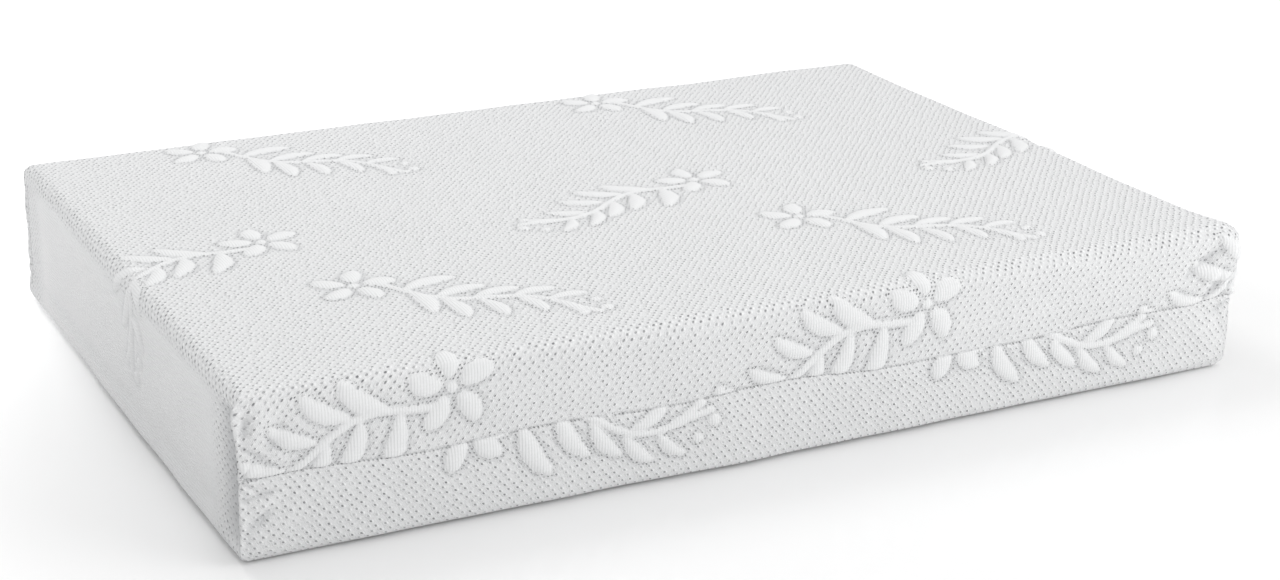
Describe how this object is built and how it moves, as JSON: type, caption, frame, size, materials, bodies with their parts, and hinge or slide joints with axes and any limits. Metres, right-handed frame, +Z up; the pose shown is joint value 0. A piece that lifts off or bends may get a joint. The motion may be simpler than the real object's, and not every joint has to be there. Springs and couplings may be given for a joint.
{
  "type": "memory foam mattress",
  "caption": "Cot-size memory foam mattress: a bonded foam block in a thin sleeve, inside a white knit cover that is folded round one end and zips open at the other.",
  "frame": {"origin": "middle of the mattress's underside", "axes": "+Z up through the thickness, X along the length with the folded end at -X and the zip end at +X, the long front side facing -Y"},
  "size_m": [0.8, 0.56, 0.118],
  "materials": {
    "support_foam": "open-cell polyurethane foam, cut faces",
    "foam_glue": "thin dried adhesive",
    "memory_foam": "fine-celled viscoelastic foam, cut faces",
    "sleeve_jersey": "thin plain jersey",
    "cover_knit": "matte double-knit jacquard with pinholes and raised motifs",
    "seam_thread": "overlocked polyester thread",
    "zip_tape": "woven herringbone tape",
    "zip_coil": "moulded nylon coil",
    "zip_metal": "nickel-plated zinc",
    "label_satin": "blank satin"
  },
  "bodies": {
    "root": {"support_core": "support_foam", "glue_film": "foam_glue", "memory_foam_layer": "memory_foam", "inner_sleeve": "sleeve_jersey", "cover_panel": "cover_knit", "side_seam_front": "seam_thread", "side_seam_back": "seam_thread", "corner_seam_front": "seam_thread", "corner_seam_back": "seam_thread", "zip_tape_upper": "zip_tape", "zip_tape_lower": "zip_tape", "zip_coil_upper": "zip_coil", "zip_coil_lower": "zip_coil", "zip_bottom_stop": "zip_metal", "zip_top_stop_upper": "zip_metal", "zip_top_stop_lower": "zip_metal", "care_label": "label_satin"},
    "slider": {"zip_slider": "zip_metal"},
    "pull_tab": {"zip_pull_tab": "zip_metal"}
  },
  "joints": [
    {"name": "zip_slide", "type": "slide", "parent": "root", "child": "slider", "axis": [0, -1, 0], "range_m": [0, 0.468]},
    {"name": "pull_tab_hinge", "type": "hinge", "parent": "slider", "child": "pull_tab", "pos_m": [0.397, 0.234, 0.06], "axis": [0, 0, 1], "range_deg": [0, 175]}
  ]
}
